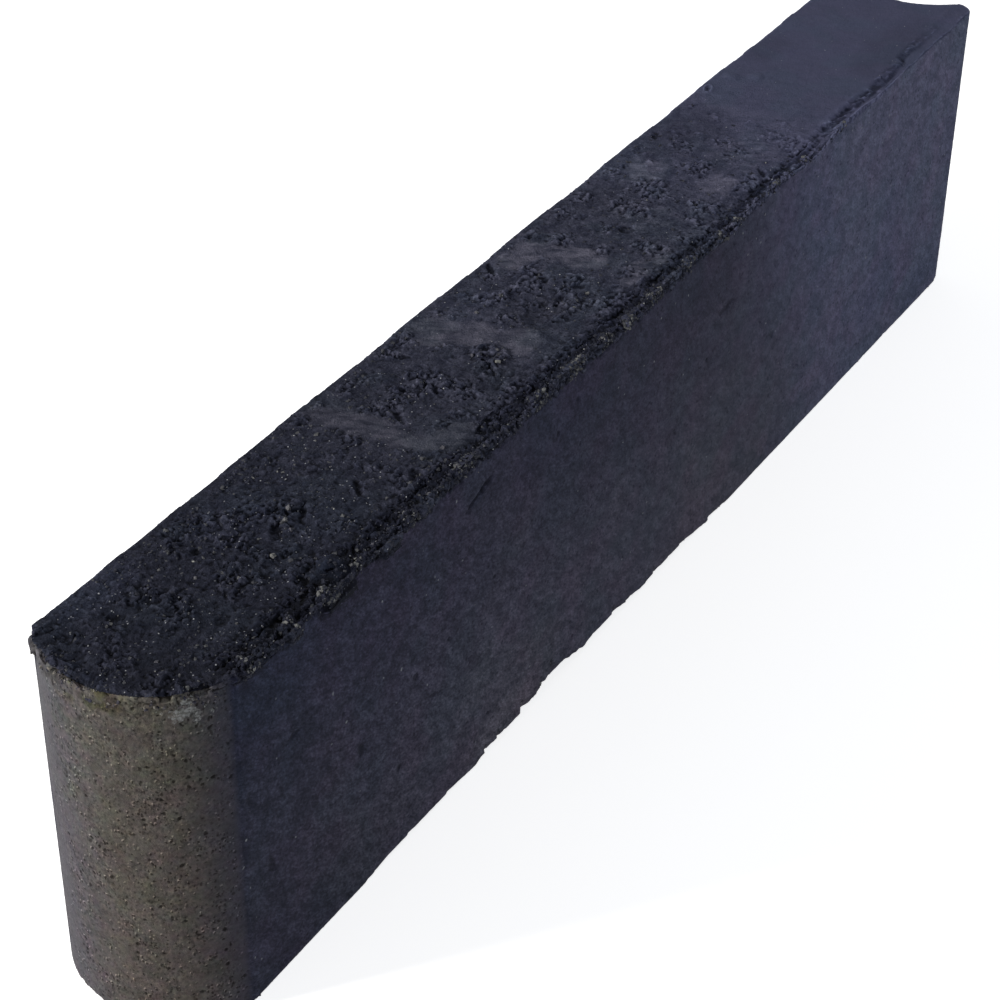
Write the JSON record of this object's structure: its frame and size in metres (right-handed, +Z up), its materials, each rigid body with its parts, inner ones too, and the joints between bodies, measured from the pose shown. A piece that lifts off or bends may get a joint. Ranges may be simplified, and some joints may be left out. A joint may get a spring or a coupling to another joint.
{
  "type": "concrete kerb stone",
  "caption": "Straight concrete kerb with a rounded full-width tongue at one end, a full-width groove of the same curve at the other and a struck, tamped top.",
  "frame": {"origin": "middle of the flat bed, halfway between the tip of the tongue and the grooved end", "axes": "+X along the kerb to its grooved end, +Y from the front face to the back face, +Z up from the bed to the struck top"},
  "size_m": [1.0497, 0.1263, 0.2536],
  "materials": {
    "concrete": "matt through-coloured anthracite concrete, pitted mould faces and a crumbly struck top"
  },
  "bodies": {
    "root": {"kerb_stone": "concrete"}
  },
  "joints": []
}
